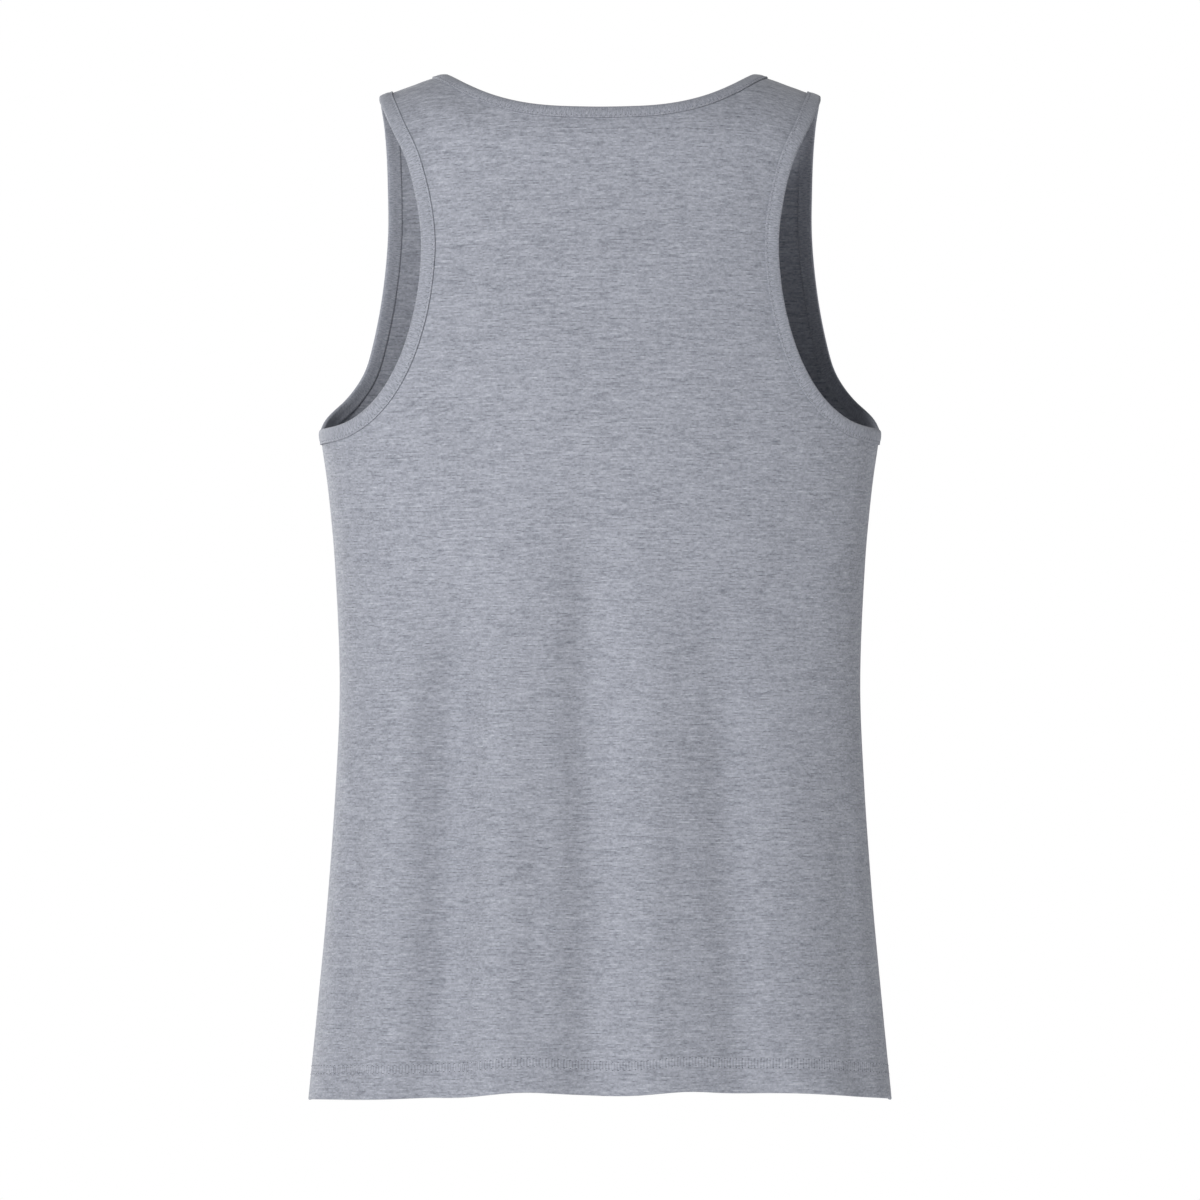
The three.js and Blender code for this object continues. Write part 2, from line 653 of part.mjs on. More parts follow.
// A strip of binding round a closed run of edge nodes. It follows the panels it holds.
function stripMesh(name, stations) {
  const points = stations.flatMap(({ edge, ring }) =>
    STRIP_SECTION.map(({ into, out }) => {
      const share = into / BINDING_WIDTH;
      const normal = edge.normal.clone().lerp(ring.normal, share).normalize();
      return edge.point.clone().lerp(ring.point, share).addScaledVector(normal, out);
    }),
  );
  const size = STRIP_SECTION.length;
  const faces = [];
  stations.forEach((_, k) => {
    const here = k * size;
    const next = ((k + 1) % stations.length) * size;
    for (let c = 0; c < size; c++) {
      const d = (c + 1) % size;
      const [p, q, r, s] = [here + c, next + c, next + d, here + d];
      const acrossIsShort = points[p].distanceTo(points[r]) <= points[q].distanceTo(points[s]);
      faces.push(...(acrossIsShort ? [[p, q, r], [p, r, s]] : [[p, q, s], [q, r, s]]));
    }
  });
  const volume = faces.reduce((sum, [a, b, c]) => sum + points[a].dot(points[b].clone().cross(points[c])), 0);
  return solidMesh(name, points, volume < 0 ? faces.map((face) => face.reverse()) : faces, BINDING_CLOTH);
}

const back = makePanel(BACK);
const front = makePanel(FRONT);

const stationsOf = (panel, keys) =>
  keys.map(({ edge, ring }) => ({ edge: panel.nodes.get(edge), ring: panel.nodes.get(ring) }));

// Where two panels meet, their edges end at the same point, which the strip passes once.
function armholeLoop(hand) {
  const behind = stationsOf(back, armholeKeys(BACK, hand));
  const before = stationsOf(front, armholeKeys(FRONT, hand)).reverse();
  return [...behind, ...before.slice(1, -1)];
}

function neckLoop() {
  const behind = [1, -1].map((hand) => stationsOf(back, neckKeys(BACK, hand)));
  const before = [1, -1].map((hand) => stationsOf(front, neckKeys(FRONT, hand)));
  return [
    ...behind[0],
    ...before[0].reverse().slice(1),
    ...before[1].slice(1),
    ...behind[1].reverse().slice(1, -1),
  ];
}

const tankTop = new THREE.Group();
tankTop.add(panelMesh('back_panel', back));
tankTop.add(panelMesh('front_panel', front));
tankTop.add(stripMesh('neck_binding', neckLoop()));
tankTop.add(stripMesh('armhole_binding_left', armholeLoop(1)));
tankTop.add(stripMesh('armhole_binding_right', armholeLoop(-1)));

export default tankTop;
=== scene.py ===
# %% [markdown]
# # A heather jersey tank top, filled out as when it is worn
#
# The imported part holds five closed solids: a back panel, a front panel and three strips of
# binding. They give the garment its true size and place. This lesson dresses them as cloth: thin
# sheets with soft folds, a hem turned up inside, folded bindings, stitches and knitted materials.

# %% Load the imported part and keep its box
import math

import bmesh
import bpy
import numpy as np
from mathutils import Matrix, Vector
from mathutils.bvhtree import BVHTree


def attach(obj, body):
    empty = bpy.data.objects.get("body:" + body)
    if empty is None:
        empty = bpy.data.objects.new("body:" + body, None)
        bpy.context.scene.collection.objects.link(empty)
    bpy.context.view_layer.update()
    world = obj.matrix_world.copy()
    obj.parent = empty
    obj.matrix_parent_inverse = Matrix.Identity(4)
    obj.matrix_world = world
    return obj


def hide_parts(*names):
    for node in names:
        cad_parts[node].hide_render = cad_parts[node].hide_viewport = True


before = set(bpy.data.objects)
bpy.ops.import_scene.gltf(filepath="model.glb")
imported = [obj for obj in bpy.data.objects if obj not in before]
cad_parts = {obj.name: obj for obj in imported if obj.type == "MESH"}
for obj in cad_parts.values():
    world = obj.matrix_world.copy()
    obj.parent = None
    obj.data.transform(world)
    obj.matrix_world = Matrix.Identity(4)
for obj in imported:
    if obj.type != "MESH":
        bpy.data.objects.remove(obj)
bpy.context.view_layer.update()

MM = 0.001
print("nodes:", sorted(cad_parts))

# %% [markdown]
# ## The camera
#
# The picture shows the garment's back from straight behind, at the height of its middle. A long
# lens a few metres away keeps the outline almost free of perspective. One pixel of the picture
# is a known length of cloth, and this gives the lens.

# %% Set the camera behind the garment
PIXELS = 1200
CLOTH_PER_PIXEL = 0.0006477
CAMERA_DISTANCE = 3.2
MIDDLE_HEIGHT = -0.3404

bpy.ops.object.camera_add(
    location=(0, CAMERA_DISTANCE, MIDDLE_HEIGHT), rotation=(math.pi / 2, 0, math.pi)
)
camera = bpy.context.object
camera.name = "Camera"
camera.data.sensor_width = 36
camera.data.lens = 36 * CAMERA_DISTANCE / (PIXELS * CLOTH_PER_PIXEL)
camera.data.clip_end = 60
bpy.context.scene.camera = camera
print("lens:", round(camera.data.lens, 1), "mm")

# %% [markdown]
# ## Light and floor
#
# The picture is lit by a large soft lamp on its left and a bright white room all round, so the
# left of the back is light and the right edge falls to a middle grey. A white world gives the
# even light and the plain background. Three soft lamps shape the folds, and a pale round floor
# below the garment keeps it in a room without entering the picture.

# %% Light the room
bpy.context.scene.view_settings.view_transform = "Standard"
room = bpy.data.worlds.new("White room")
room.use_nodes = True
nodes, links = room.node_tree.nodes, room.node_tree.links
nodes["Background"].inputs["Color"].default_value = (1, 1, 1, 1)
seen = nodes.new("ShaderNodeLightPath").outputs["Is Camera Ray"]
strength = nodes.new("ShaderNodeMapRange")
strength.inputs["To Min"].default_value = 0.2  # what lights the cloth
strength.inputs["To Max"].default_value = 1.0  # the plain white that is seen behind it
links.new(seen, strength.inputs["Value"])
links.new(strength.outputs["Result"], nodes["Background"].inputs["Strength"])
bpy.context.scene.world = room


def soft_lamp(name, place, size, watts):
    """A square lamp at a place, turned to the middle of the garment."""
    aim = Vector((0, 0, MIDDLE_HEIGHT)) - Vector(place)
    bpy.ops.object.light_add(
        type="AREA", location=place, rotation=aim.to_track_quat("-Z", "Y").to_euler()
    )
    lamp = bpy.context.object
    lamp.name = name
    lamp.data.size = size
    lamp.data.energy = watts
    return lamp


soft_lamp("Main lamp", (1.45, 2.95, 0.75), 0.6, 110)
soft_lamp("Side lamp", (-3.0, -0.4, -0.2), 1.2, 26)
soft_lamp("Front lamp", (2.0, -2.5, 0.4), 1.0, 82)

# %% Lay the floor
FLOOR_HEIGHT = -1.1
FLOOR_RADIUS = 2.9

bpy.ops.mesh.primitive_circle_add(
    vertices=96, radius=FLOOR_RADIUS, fill_type="NGON", location=(0, 0, 0)
)
floor = bpy.context.object
floor.name = "Floor"
floor.data.transform(Matrix.Translation((0, 0, FLOOR_HEIGHT)))
paint = bpy.data.materials.new("Pale floor")
paint.use_nodes = True
pale = paint.node_tree.nodes["Principled BSDF"].inputs
pale["Base Color"].default_value = (0.86, 0.86, 0.86, 1)
pale["Roughness"].default_value = 0.9
pale["Specular IOR Level"].default_value = 0.1
pale["Emission Color"].default_value = (1, 1, 1, 1)
pale["Emission Strength"].default_value = 0.35
floor.data.materials.append(paint)

# %% [markdown]
# ## The smooth cloth
#
# Every sewn piece follows one smooth surface: the outer face of the two panels, which meet at
# the side seams and on the shoulders. It could be modelled again from nothing, but then it would
# drift from the solids. Instead the outer faces of the two solids are copied, joined at the seams
# and smoothed with a Subdivision Surface modifier. Smoothing pulls a surface inwards, so the
# cage is first moved out until the smoothed cloth passes through the solids' own points.

# %% Helpers to select pieces and to move many points
def pick(*pieces):
    """Select these pieces and nothing else."""
    bpy.ops.object.select_all(action="DESELECT")
    for piece in pieces:
        piece.select_set(True)
    bpy.context.view_layer.objects.active = pieces[0]


def points_of(mesh):
    flat = np.empty(len(mesh.vertices) * 3, dtype=np.float32)
    mesh.vertices.foreach_get("co", flat)
    return flat.reshape(-1, 3).astype(float)


def move_points(mesh, points):
    mesh.vertices.foreach_set("co", np.asarray(points, dtype=np.float32).ravel())
    mesh.update()
    mesh.update_tag()


def normals_of(mesh):
    flat = np.empty(len(mesh.vertices) * 3, dtype=np.float32)
    mesh.vertex_normals.foreach_get("vector", flat)
    return flat.reshape(-1, 3).astype(float)


# %% Copy the outer face of a panel's solid
OUTWARD = 0.6  # a face of the outside points away from the garment's middle by at least this
CORE_WIDTH = 0.75  # the garment's middle reaches this share of the way to each side
SHOULDER_MIDDLE = -0.052
NARROW_ROW = 1.1 * MM  # the solids step in over the hem by a row of faces that is narrower


def outer_face(node):
    """The outside of a node, as a sheet of four-sided faces."""
    work = bmesh.new()
    work.from_mesh(bpy.data.objects[node].data)
    bmesh.ops.remove_doubles(work, verts=work.verts, dist=0.01 * MM)
    work.normal_update()
    others = []
    for face in work.faces:
        centre = face.calc_center_median()
        core = Vector((CORE_WIDTH * centre.x, 0, min(centre.z, SHOULDER_MIDDLE)))
        if face.normal.dot((centre - core).normalized()) < OUTWARD:
            others.append(face)
    bmesh.ops.delete(work, geom=others, context="FACES")
    largest, seen = [], set()
    for first in work.faces:
        if first in seen:
            continue
        island, waiting = [], [first]
        seen.add(first)
        while waiting:
            face = waiting.pop()
            island.append(face)
            for beside in (f for edge in face.edges for f in edge.link_faces):
                if beside not in seen:
                    seen.add(beside)
                    waiting.append(beside)
        largest = max(largest, island, key=len)
    kept = set(largest)
    bmesh.ops.delete(work, geom=[f for f in work.faces if f not in kept], context="FACES")
    bmesh.ops.remove_doubles(work, verts=work.verts, dist=NARROW_ROW)
    bmesh.ops.join_triangles(
        work, faces=work.faces, angle_face_threshold=math.pi, angle_shape_threshold=math.pi,
        topology_influence=2.0,
    )
    mesh = bpy.data.meshes.new(node + " outside")
    work.to_mesh(mesh)
    work.free()
    sheet = bpy.data.objects.new(node + " outside", mesh)
    bpy.context.scene.collection.objects.link(sheet)
    mesh.materials.clear()
    mesh.materials.append(bpy.data.materials.new(node + " cloth"))
    corners = [len(face.vertices) for face in mesh.polygons]
    print(node, "faces:", len(corners), "of them triangles:", corners.count(3))
    return sheet


# %% Join the two sheets at the seams
SEAM_REACH = 0.4 * MM  # wider than the gap between the solids
SHOULDER_FOOT = -0.03


def match_shoulder_seam(mesh):
    """Give each panel's edge on the shoulder the points of the other's, so that they can join."""
    work = bmesh.new()
    work.from_mesh(mesh)
    sides = {0: [], 1: []}
    for edge in work.edges:
        on_top = all(abs(v.co.y) < SEAM_REACH and v.co.z > SHOULDER_FOOT for v in edge.verts)
        if edge.is_boundary and on_top:
            sides[edge.link_faces[0].material_index].append(edge)
    places = {k: [v.co.copy() for e in sides[k] for v in e.verts] for k in sides}
    for number, edges in sides.items():
        for place in places[1 - number]:
            for edge in edges:
                low, high = sorted(edge.verts, key=lambda v: v.co.x)
                if low.co.x + SEAM_REACH < place.x < high.co.x - SEAM_REACH:
                    share = (place.x - low.co.x) / (high.co.x - low.co.x)
                    made, point = bmesh.utils.edge_split(edge, low, share)
                    edges.append(made)
                    break
    work.to_mesh(mesh)
    work.free()


cage = outer_face("back_panel")
front_sheet = outer_face("front_panel")
pick(cage, front_sheet)
bpy.ops.object.join()
cage.name = "Smooth cloth"
match_shoulder_seam(cage.data)
bpy.ops.object.mode_set(mode="EDIT")
bpy.ops.mesh.select_all(action="SELECT")
bpy.ops.mesh.remove_doubles(threshold=SEAM_REACH)
bpy.ops.object.mode_set(mode="OBJECT")

# %% Smooth the cloth and fit it to the solids
SMOOTHING_LEVELS = 2
FITTING_TURNS = 4

smoothing = cage.modifiers.new("Smooth cloth", "SUBSURF")
smoothing.levels = smoothing.render_levels = SMOOTHING_LEVELS
smoothing.boundary_smooth = "PRESERVE_CORNERS"
goal = points_of(cage.data)
for turn in range(FITTING_TURNS):
    smooth = cage.evaluated_get(bpy.context.evaluated_depsgraph_get()).data
    miss = goal - points_of(smooth)[: len(goal)]
    far = np.linalg.norm(miss, axis=1) / MM
    print("miss before turn", turn, "in mm: largest", round(far.max(), 2), "mean", round(far.mean(), 3))
    move_points(cage.data, points_of(cage.data) + miss)
    bpy.context.view_layer.update()
pick(cage)
bpy.ops.object.modifier_apply(modifier=smoothing.name)
bpy.ops.object.shade_smooth()
cloth = cage.data
print("smooth cloth:", len(cloth.vertices), "points,", len(cloth.polygons), "faces")

# %% [markdown]
# ## Soft folds
#
# Jersey hangs from the shoulders and the chest, so shallow folds run down to the hem and faint
# drags leave the underarms. The main folds are already in the solids. More are listed here, each
# as a line of points on the back or front with a width and a depth. Each one fades in, and out
# again unless it runs down to the hem. They are uneven, as the folds of real cloth are.

# %% The list of folds
# (side, points across and down in millimetres, width, depth); a negative depth is a trough.
FOLDS = [
    ("back", [(90, -280), (94, -410), (97, -550), (101, -668)], 14, -11.0),
    ("back", [(126, -340), (131, -500), (137, -668)], 13, 2.3),
    ("back", [(60, -300), (62, -430), (67, -668)], 12, 3.2),
    ("back", [(8, -250), (7, -400), (4, -540), (7, -668)], 12, -5.6),
    ("back", [(-30, -280), (-33, -430), (-36, -668)], 12, 2.8),
    ("back", [(-74, -320), (-79, -450), (-85, -570), (-92, -668)], 11, -4.6),
    ("back", [(-114, -360), (-120, -520), (-128, -668)], 12, 2.1),
    ("back", [(152, -420), (158, -540), (164, -668)], 8, -1.8),
    ("back", [(-150, -400), (-157, -540), (-166, -668)], 8, -1.6),
    ("back", [(38, -420), (40, -520), (44, -640)], 7, -1.0),
    ("back", [(-46, -440), (-50, -560), (-54, -668)], 7, -0.9),
    ("back", [(170, -262), (150, -290), (124, -314), (98, -350)], 9, -2.0),
    ("back", [(172, -288), (150, -322), (124, -352)], 9, 1.5),
    ("back", [(-170, -258), (-150, -282), (-124, -304), (-94, -330)], 9, -1.7),
    ("back", [(-172, -288), (-152, -320), (-130, -350)], 9, 1.3),
    ("back", [(62, -118), (30, -150), (-4, -158), (-42, -150)], 15, -1.4),
    ("back", [(118, -186), (94, -226), (70, -262), (52, -300)], 12, -1.5),
    ("back", [(-118, -184), (-94, -226), (-66, -256)], 12, -1.3),
    ("back", [(112, -62), (104, -100), (100, -140)], 9, -1.1),
    ("back", [(-112, -58), (-104, -98), (-101, -136)], 9, -1.0),
    ("front", [(80, -310), (84, -440), (90, -668)], 12, -5.0),
    ("front", [(46, -350), (48, -500), (52, -668)], 13, 1.9),
    ("front", [(-94, -290), (-99, -430), (-108, -668)], 12, -4.8),
    ("front", [(-56, -330), (-60, -480), (-66, -668)], 13, 1.8),
    ("front", [(2, -320), (-3, -470), (-12, -668)], 12, -3.7),
    ("front", [(124, -390), (130, -520), (138, -668)], 12, 1.8),
    ("front", [(-134, -390), (-142, -520), (-150, -668)], 12, 1.9),
    ("front", [(156, -430), (160, -540), (168, -668)], 8, -1.5),
    ("front", [(164, -256), (140, -282), (108, -300)], 10, -1.9),
    ("front", [(-166, -262), (-142, -290), (-106, -312)], 10, -1.8),
    ("front", [(168, -284), (142, -316), (116, -340)], 9, 1.3),
    ("front", [(-168, -290), (-144, -322), (-118, -350)], 9, 1.3),
    ("front", [(126, -166), (106, -200), (80, -224)], 12, -1.5),
    ("front", [(-126, -162), (-104, -200), (-82, -222)], 12, -1.6),
    ("front", [(72, -180), (40, -210), (0, -219), (-44, -208)], 14, -1.3),
    ("front", [(30, -236), (-10, -252), (-50, -246)], 13, -0.9),
]
FOLD_STEPS = 40
FADE_IN = 0.35  # the share of a fold over which it rises from nothing
FADE_OUT = 0.4  # and the share over which it sinks again, unless it runs down to the hem
NEAR_HEM = -660


# %% Press the folds into the cloth
def surface_tree(mesh):
    faces = [tuple(face.vertices) for face in mesh.polygons]
    return BVHTree.FromPolygons(points_of(mesh).tolist(), faces)


def on_side(tree, side, x, z):
    """The point of the cloth that is seen at x and z from straight behind or in front."""
    toward = 1 if side == "back" else -1
    hit = tree.ray_cast(Vector((x * MM, toward, z * MM)), Vector((0, -toward, 0)))[0]
    if hit is None:
        hit = tree.find_nearest(Vector((x * MM, 0.05 * toward, z * MM)))[0]
    return hit


def eased(share):
    """A share from 0 to 1 that starts and ends softly."""
    share = np.clip(share, 0, 1)
    return share * share * (3 - 2 * share)


def fold_depths(mesh, folds):
    """How far each point of the cloth moves out, for all the folds together."""
    tree, places = surface_tree(mesh), points_of(mesh)
    depths = np.zeros(len(places))
    for side, line, width, depth in folds:
        line = np.array(line, dtype=float)
        lengths = np.concatenate([[0], np.cumsum(np.linalg.norm(np.diff(line, axis=0), axis=1))])
        shares = np.linspace(0, 1, FOLD_STEPS)
        xs, zs = (np.interp(shares * lengths[-1], lengths, line[:, k]) for k in (0, 1))
        route = np.array([on_side(tree, side, x, z) for x, z in zip(xs, zs)])
        apart = np.linalg.norm(places[:, None, :] - route[None, :, :], axis=2)
        nearest = apart.argmin(axis=1)
        share = shares[nearest]
        fade = eased(share / FADE_IN)
        if line[-1, 1] > NEAR_HEM:
            fade = fade * eased((1 - share) / FADE_OUT)
        depths += depth * MM * fade * np.exp(-0.5 * (apart.min(axis=1) / (width * MM)) ** 2)
    return depths


depths = fold_depths(cloth, FOLDS)
move_points(cloth, points_of(cloth) + normals_of(cloth) * depths[:, None])
lowest, highest = round(depths.min() / MM, 2), round(depths.max() / MM, 2)
print("folds:", len(FOLDS), "from", lowest, "to", highest, "mm")

# %% [markdown]
# ## The seams from outside
#
# The thread of a seam pulls the cloth in along it. So the points that both panels share, along
# the two sides and on the two shoulders, are pressed in by a little less than the cloth's
# thickness.

# %% Press the seams in
SEAM_DIP = 0.6 * MM


def shared_points(mesh):
    """The numbers of the points that both panels share, along the four seams."""
    panels = {}
    for face in mesh.polygons:
        for number in face.vertices:
            panels.setdefault(number, set()).add(face.material_index)
    return sorted(number for number, found in panels.items() if len(found) > 1)


dips = np.zeros(len(cloth.vertices))
dips[shared_points(cloth)] = -SEAM_DIP
move_points(cloth, points_of(cloth) + normals_of(cloth) * dips[:, None])
print("points along the seams:", np.count_nonzero(dips))

# %% [markdown]
# ## Edges and seams as lines
#
# The bindings, seams and stitches all run along lines of the cloth: the neck, the two armholes,
# the hem, the side seams and the shoulder seams. Each line is read once from the smooth cloth.
# At even steps along it, it keeps a place, the way along, the way out of the cloth and the way
# into the cloth, and a helper can then step into the cloth and stay on its surface.

# %% Find the open edges of the cloth
def rings_of(mesh):
    """The open edges of a mesh, each as a closed ring of point numbers."""
    work = bmesh.new()
    work.from_mesh(mesh)
    beside = {}
    for edge in work.edges:
        if edge.is_boundary:
            a, b = (v.index for v in edge.verts)
            beside.setdefault(a, []).append(b)
            beside.setdefault(b, []).append(a)
    work.free()
    rings = []
    while beside:
        ring = [next(iter(beside))]
        while True:
            passed = {ring[0], *ring[-2:]}
            onward = [n for n in beside[ring[-1]] if n in beside and n not in passed]
            if not onward:
                break
            ring.append(onward[0])
            if len(ring) > 2:
                beside.pop(ring[-2])
        for number in ring:
            beside.pop(number, None)
        rings.append(ring)
    return rings


cloth_points = points_of(cloth)
cloth_normals = normals_of(cloth)
cloth_tree = surface_tree(cloth)
EDGE_RINGS = {}
for ring in rings_of(cloth):
    x, _, z = cloth_points[ring].mean(axis=0)
    if z < -0.5:
        EDGE_RINGS["hem"] = ring
    elif abs(x) < 0.03:
        EDGE_RINGS["neck"] = ring
    else:
        EDGE_RINGS["armhole_left" if x > 0 else "armhole_right"] = ring
print("edges:", {name: len(ring) for name, ring in EDGE_RINGS.items()})


# %% A line on the cloth with its directions
OUT_REACH = 3  # a way out of the cloth is evened with this many neighbours on each side
TRIED_STEP = 4 * MM  # a step to each side, to find on which one the cloth lies


def evened(values, reach, closed):
    """Each value averaged with its neighbours along a line."""
    if closed:
        return sum(np.roll(values, k, axis=0) for k in range(-reach, reach + 1)) / (2 * reach + 1)
    padded = np.concatenate([values[:1]] * reach + [values] + [values[-1:]] * reach)
    return sum(padded[k : k + len(values)] for k in range(2 * reach + 1)) / (2 * reach + 1)


def unit(vectors):
    return vectors / np.linalg.norm(vectors, axis=1, keepdims=True)


def cloth_line(numbers, step, closed=True, toward=None):
    """Even places along points of the cloth, with the ways along, out of and into the cloth."""
    places, outs = cloth_points[numbers], cloth_normals[numbers]
    if closed:
        places, outs = (np.concatenate([a, a[:1]]) for a in (places, outs))
    lengths = np.concatenate([[0], np.cumsum(np.linalg.norm(np.diff(places, axis=0), axis=1))])
    count = round(lengths[-1] / step)
    wanted = np.arange(count if closed else count + 1) * lengths[-1] / count
    even = np.stack([np.interp(wanted, lengths, places[:, k]) for k in range(3)], axis=1)
    out = np.stack([np.interp(wanted, lengths, outs[:, k]) for k in range(3)], axis=1)
    even = evened(even, 1, closed)
    if closed:
        along = unit(np.roll(even, -1, axis=0) - np.roll(even, 1, axis=0))
    else:
        along = unit(np.gradient(even, axis=0))
    out = evened(out, OUT_REACH, closed)
    out = unit(out - along * (out * along).sum(axis=1, keepdims=True))
    into = np.cross(out, along)
    if toward is None:
        gaps = [
            sum(cloth_tree.find_nearest(Vector(place))[3] for place in even + step * into)
            for step in (TRIED_STEP, -TRIED_STEP)
        ]
        into = into if gaps[0] < gaps[1] else -into
    elif (into @ np.array(toward)).mean() < 0:
        into = -into
    return {
        "points": even, "out": out, "into": into, "walk": wanted, "length": lengths[-1],
        "closed": closed,
    }


def stepped_in(line, depth):
    """Places this far into the cloth from a line, on its outer face, and the ways out there."""
    if depth <= 0:
        return line["points"] + line["into"] * depth, line["out"]
    hits = [cloth_tree.find_nearest(Vector(p)) for p in line["points"] + line["into"] * depth]
    out = unit(evened(np.array([hit[1] for hit in hits]), OUT_REACH, line["closed"]))
    facing = np.sign((out * line["out"]).sum(axis=1, keepdims=True))
    return np.array([hit[0] for hit in hits]), out * facing


LINE_STEP = 2.2 * MM
LINES = {name: cloth_line(ring, LINE_STEP) for name, ring in EDGE_RINGS.items()}
for name, line in LINES.items():
    print(name, "length:", round(line["length"] / MM), "mm in", len(line["points"]), "steps")

# %% [markdown]
# ## Knitted materials
#
# Heather jersey is knitted from yarn in which light and dark fibres are mixed. Seen close, it has
# short streaks along the rows of stitches, about a centimetre long and less than a millimetre
# high, and finer specks. The bindings are cut the other way, so their streaks stand across the
# strip. A picture would repeat and blur, so the streaks come from stretched noise on the piece's
# own flat pattern, which is measured in metres and follows every fold. On the panels the noise is
# held still over the height of each row of stitches, so that the streaks keep to the rows.

# %% Helpers for nodes
def add_node(tree, kind, settings=None, **sockets):
    """A node with its settings; sockets have _ for spaces or are i0, i1 and so on by number."""
    made = tree.nodes.new(kind)
    for name, value in (settings or {}).items():
        setattr(made, name, value)
    for name, value in sockets.items():
        numbered = name[0] == "i" and name[1:].isdigit()
        slot = made.inputs[int(name[1:]) if numbered else name.replace("_", " ")]
        if isinstance(value, bpy.types.NodeSocket):
            tree.links.new(value, slot)
        else:
            slot.default_value = value
    return made


def reckoned(tree, operation, *values):
    """What a Math node makes of these values."""
    sockets = {f"i{number}": value for number, value in enumerate(values)}
    return add_node(tree, "ShaderNodeMath", {"operation": operation}, **sockets).outputs[0]


def blank_material(name):
    """A new material and its node tree."""
    made = bpy.data.materials.new(name)
    made.use_nodes = True
    return made, made.node_tree


def set_surface(tree, **values):
    """Set plain values of the surface, named with _ for spaces."""
    surface = tree.nodes["Principled BSDF"]
    for name, value in values.items():
        surface.inputs[name.replace("_", " ")].default_value = value


def set_colour(tree, level, dark, light):
    """Colour the surface from dark to light as the level goes from 0 to 1."""
    blend = add_node(tree, "ShaderNodeMix", {"data_type": "RGBA", "clamp_factor": True}, i0=level)
    blend.inputs[6].default_value = (*dark, 1)
    blend.inputs[7].default_value = (*light, 1)
    tree.links.new(blend.outputs[2], tree.nodes["Principled BSDF"].inputs["Base Color"])


def set_bump(tree, height, strength, distance):
    """Raise the surface in the light as if by this height."""
    bump = add_node(tree, "ShaderNodeBump", Height=height, Strength=strength, Distance=distance)
    tree.links.new(bump.outputs[0], tree.nodes["Principled BSDF"].inputs["Normal"])


# %% The heather jersey
def streaks(tree, pattern, along, across, seed):
    """Noise from 0 to 1 whose marks are this long and this high, in millimetres."""
    place = add_node(
        tree, "ShaderNodeMapping", Vector=pattern,
        Location=(seed, 3 * seed, 0), Scale=(1 / (along * MM), 1 / (across * MM), 1),
    )
    noise = add_node(
        tree, "ShaderNodeTexNoise", {"noise_dimensions": "2D"},
        Vector=place.outputs[0], Scale=1.0, Detail=2.0, Roughness=0.6,
    )
    return noise.outputs["Fac"]


def by_courses(tree, pattern, course):
    """The place on the pattern, its height held still over each course of the knit."""
    place = add_node(tree, "ShaderNodeSeparateXYZ", Vector=pattern)
    held = reckoned(tree, "SNAP", place.outputs["Y"], course * MM)
    return add_node(tree, "ShaderNodeCombineXYZ", X=place.outputs["X"], Y=held).outputs[0]


def mixed(tree, base, amount, value):
    """base plus a share of how far value is from its middle."""
    away = reckoned(tree, "MULTIPLY_ADD", value, amount, -0.5 * amount)
    return reckoned(tree, "ADD", base, away)


HEM_ROWS_UP = (15.6, 20.8)  # the two rows of stitches, in millimetres above the hem
PUCKER_PITCH = 1.95
PUCKER_REACH = (2.2, 4.4)  # full, and gone, this far from the middle between the rows
# The puckers also lighten their crests and darken their furrows in the colour: painted shade.
PUCKER_PAINTED_SHADE = 0.10
PUCKER_RELIEF = 0.8
WAVE_PITCH = 2 * math.pi / 20  # the pitch of a Wave Texture whose scale is 1


def hem_pucker(tree, pattern):
    """Small upright puckers between the two rows of stitches, from 0 to 1."""
    above = add_node(tree, "ShaderNodeAttribute", {"attribute_name": "above_hem"}).outputs["Fac"]
    middle = sum(HEM_ROWS_UP) / 2 * MM
    away = reckoned(tree, "ABSOLUTE", reckoned(tree, "SUBTRACT", above, middle))
    full, gone = (reach * MM for reach in PUCKER_REACH)
    band = add_node(
        tree, "ShaderNodeMapRange", {"interpolation_type": "SMOOTHSTEP"}, Value=away,
        From_Min=gone, From_Max=full, To_Min=0.0, To_Max=1.0,
    )
    u = add_node(tree, "ShaderNodeSeparateXYZ", Vector=pattern).outputs["X"]
    turn = reckoned(tree, "MULTIPLY", u, 2 * math.pi / (PUCKER_PITCH * MM))
    return reckoned(tree, "MULTIPLY", reckoned(tree, "SINE", turn), band.outputs[0])


def heather(name, marks, course=0.0, puckered=False, rib=0.62):
    """Jersey whose marks are (length along u, height along v, strength, seed).

    The course and the rib are the pitches of the knit's rows and columns, in millimetres.
    """
    made, tree = blank_material(name)
    pattern = add_node(tree, "ShaderNodeUVMap", {"uv_map": "Pattern"}).outputs[0]
    level = add_node(tree, "ShaderNodeValue")
    level.outputs[0].default_value = 0.5
    level = level.outputs[0]
    place = by_courses(tree, pattern, course) if course else pattern
    for along, across, strength, seed in marks:
        level = mixed(tree, level, strength, streaks(tree, place, along, across, seed))
    relief = level
    if puckered:
        pucker = hem_pucker(tree, pattern)
        # Painted shade: the colour follows the puckers' relief.
        level = reckoned(tree, "MULTIPLY_ADD", pucker, PUCKER_PAINTED_SHADE, level)
        relief = reckoned(tree, "MULTIPLY_ADD", pucker, PUCKER_RELIEF, relief)
    set_colour(tree, level, DARK_FIBRES, LIGHT_FIBRES)
    ribs = add_node(
        tree, "ShaderNodeTexWave", {"wave_type": "BANDS", "bands_direction": "X"},
        Vector=pattern, Scale=WAVE_PITCH / (rib * MM), Distortion=1.5, Detail=1.0, Detail_Scale=0.4,
    )
    height = mixed(tree, relief, 0.5, ribs.outputs["Fac"])
    set_bump(tree, height, strength=0.3, distance=0.2 * MM)
    set_surface(tree, Roughness=0.92, Specular_IOR_Level=0.2, Sheen_Weight=0.12, Sheen_Roughness=0.5)
    return made


